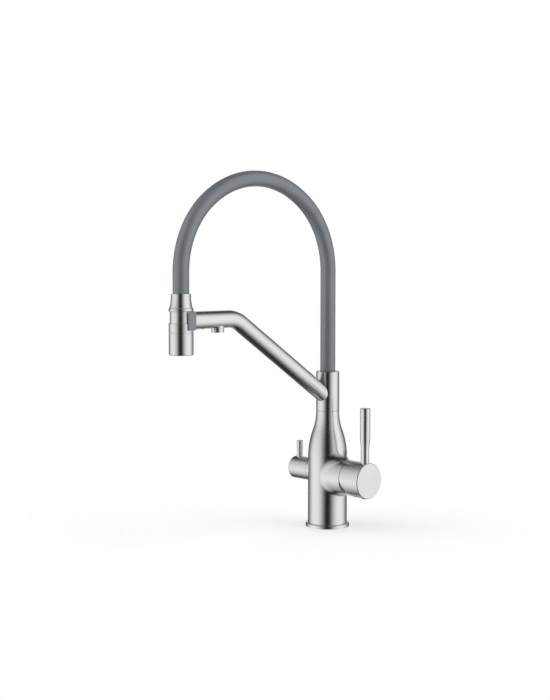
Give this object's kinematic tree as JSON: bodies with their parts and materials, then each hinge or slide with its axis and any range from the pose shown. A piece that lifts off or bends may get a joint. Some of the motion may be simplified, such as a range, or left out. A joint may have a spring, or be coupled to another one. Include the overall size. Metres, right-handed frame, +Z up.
{
  "type": "kitchen mixer tap",
  "caption": "Tall kitchen mixer tap with a swivelling arm, a docked hose-fed spray head, a side mixer lever and a second small valve for filtered water.",
  "frame": {"origin": "centre of the base's underside on the worktop", "axes": "+Z up along the column; the spout points along -Y, the mixer handle is at +X and the filtered-water valve at -X"},
  "size_m": [0.126, 0.2704, 0.4291],
  "materials": {
    "brushed_nickel": "brushed nickel, satin",
    "brass_inner": "plain machined",
    "steel_screw": "plain",
    "sleeve_grey": "matt silicone",
    "inner_hose_grey": "matt",
    "dock_grey": "matt",
    "seal_black": "matt",
    "inner_plastic": "moulded",
    "ceramic_white": "polished",
    "spray_grey": "moulded"
  },
  "bodies": {
    "tap_base": {"tap_body": "brushed_nickel", "base_flange": "brushed_nickel", "base_seal": "seal_black", "swivel_core": "brass_inner", "swivel_seal_ring_low": "seal_black", "swivel_seal_ring_middle": "seal_black", "swivel_seal_ring_high": "seal_black", "swivel_washer": "inner_plastic", "cartridge_shell": "inner_plastic", "cartridge_base": "inner_plastic", "cartridge_seal_hot": "seal_black", "cartridge_seal_cold": "seal_black", "cartridge_seal_mixed": "seal_black", "fixed_ceramic_disc": "ceramic_white", "cartridge_nut": "brass_inner", "trim_bell": "brushed_nickel", "filter_valve_shell": "brass_inner", "filter_valve_seal": "seal_black", "filter_fixed_disc": "ceramic_white"},
    "temperature_rotor": {"cartridge_rotor": "inner_plastic", "stem_pivot_pin": "steel_screw"},
    "sliding_disc": {"disc_carrier": "inner_plastic", "moving_ceramic_disc": "ceramic_white"},
    "mixer_handle": {"cartridge_stem": "brass_inner", "mixer_cap": "brushed_nickel", "mixer_lever": "brushed_nickel", "cap_grub_screw": "steel_screw", "grub_screw_plug": "seal_black"},
    "filter_handle": {"filter_spindle": "brass_inner", "filter_moving_disc": "ceramic_white", "filter_hub": "brushed_nickel", "filter_pin": "brushed_nickel", "filter_grub_screw": "steel_screw"},
    "spout": {"swivel_collar": "brushed_nickel", "collar_set_screw": "steel_screw", "hose_nipple": "brass_inner", "spout_arm": "brushed_nickel", "filter_water_tube": "inner_plastic", "outlet_elbow": "inner_plastic", "filter_nozzle": "brushed_nickel", "filter_aerator": "inner_plastic", "head_dock": "dock_grey", "dock_set_screw": "steel_screw", "hose_sleeve": "sleeve_grey", "inner_hose": "inner_hose_grey"},
    "spray_head": {"hose_ferrule": "brushed_nickel", "hose_end_fitting": "brass_inner", "head_body": "brushed_nickel", "check_valve": "inner_plastic"},
    "spray_selector": {"spray_ring": "brushed_nickel", "spray_face": "spray_grey", "head_aerator": "inner_plastic", "spray_diverter": "inner_plastic"}
  },
  "joints": [
    {"name": "spout_swivel", "type": "hinge", "parent": "tap_base", "child": "spout", "pos_m": [0, 0, 0.1428], "axis": [0, 0, 1], "continuous": true},
    {"name": "mixer_temperature", "type": "hinge", "parent": "tap_base", "child": "temperature_rotor", "pos_m": [0.036, 0, 0.0633], "axis": [1, 0, 0], "range_deg": [-45, 45]},
    {"name": "mixer_flow", "type": "hinge", "parent": "temperature_rotor", "child": "mixer_handle", "pos_m": [0.036, 0, 0.0633], "axis": [0, 1, 0], "range_deg": [0, 25]},
    {"name": "disc_slide", "type": "slide", "parent": "temperature_rotor", "child": "sliding_disc", "axis": [0, 0, 1], "range_m": [0, 0.0037]},
    {"name": "filter_valve", "type": "hinge", "parent": "tap_base", "child": "filter_handle", "pos_m": [-0.03, 0, 0.0665], "axis": [1, 0, 0], "range_deg": [0, 90]},
    {"name": "head_undock", "type": "slide", "parent": "spout", "child": "spray_head", "axis": [0, -1, 0], "range_m": [0, 0.06], "deforming": ["hose_sleeve", "inner_hose"]},
    {"name": "spray_mode", "type": "hinge", "parent": "spray_head", "child": "spray_selector", "pos_m": [0, -0.22975, 0.2471], "axis": [0, 0, 1], "range_deg": [0, 60]}
  ],
  "couplings": [
    {"joint": "disc_slide", "follows": "mixer_flow", "m_per_rad": 0.0083}
  ]
}
